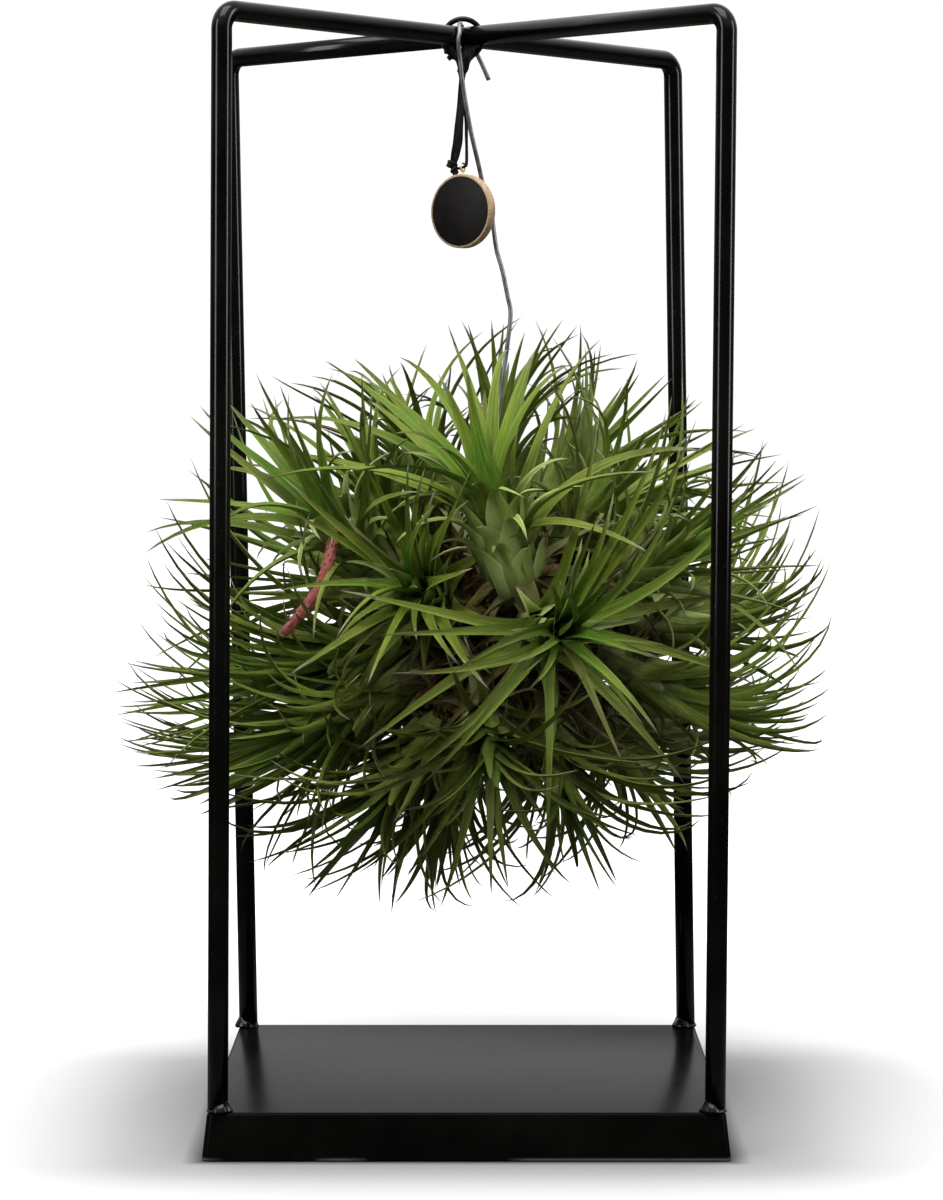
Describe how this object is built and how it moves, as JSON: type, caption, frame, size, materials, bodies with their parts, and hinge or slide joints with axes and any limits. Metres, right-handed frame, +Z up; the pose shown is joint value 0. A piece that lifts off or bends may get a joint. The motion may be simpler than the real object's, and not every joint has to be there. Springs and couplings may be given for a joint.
{
  "type": "air plant on a wire stand",
  "caption": "Open frame of black steel rod on a square tray, with a bushy air plant hung on a wire from the crossing of the rods and a small round tag on a ribbon.",
  "frame": {"origin": "on the ground under the middle of the square tray", "axes": "+Z up along the posts, -Y the front, +X to the right seen from the front"},
  "size_m": [0.2926, 0.2605, 0.4478],
  "materials": {
    "tray_black": "satin black paint on folded sheet steel",
    "rod_black": "semi-gloss black paint on round steel rod",
    "wire_grey": "dull grey bare wire",
    "ribbon_black": "black satin ribbon",
    "tag_wood": "pale wood with the faces painted black",
    "eye_brass": "pale plated screw eye",
    "stem_brown": "dry brown woody stems and withered leaves",
    "flower_pink": "dull pink bracts",
    "leaf_green": "matt green leaves with a fine silver bloom"
  },
  "bodies": {
    "root": {"base_tray": "tray_black", "hoop_main": "rod_black", "hoop_arm_front": "rod_black", "hoop_arm_rear": "rod_black", "hanging_ring": "rod_black", "hanging_wire": "wire_grey", "ribbon": "ribbon_black", "tag_disc": "tag_wood", "tag_eye": "eye_brass", "stem_core": "stem_brown", "flower_stalk": "flower_pink", "flower_bud": "flower_pink", "rosette_01": "leaf_green", "rosette_02": "leaf_green", "rosette_03": "leaf_green", "rosette_04": "leaf_green", "rosette_05": "leaf_green", "rosette_06": "leaf_green", "rosette_07": "leaf_green", "rosette_08": "leaf_green", "rosette_09": "leaf_green", "rosette_10": "leaf_green", "rosette_11": "leaf_green", "rosette_12": "leaf_green", "rosette_13": "leaf_green", "rosette_14": "leaf_green", "rosette_15": "leaf_green", "rosette_16": "leaf_green", "rosette_17": "leaf_green", "rosette_18": "leaf_green", "rosette_19": "leaf_green", "rosette_20": "leaf_green", "rosette_21": "leaf_green", "rosette_22": "leaf_green", "rosette_23": "leaf_green", "rosette_24": "leaf_green", "rosette_25": "leaf_green", "rosette_26": "leaf_green", "rosette_27": "leaf_green", "rosette_28": "leaf_green", "rosette_29": "leaf_green"}
  },
  "joints": []
}
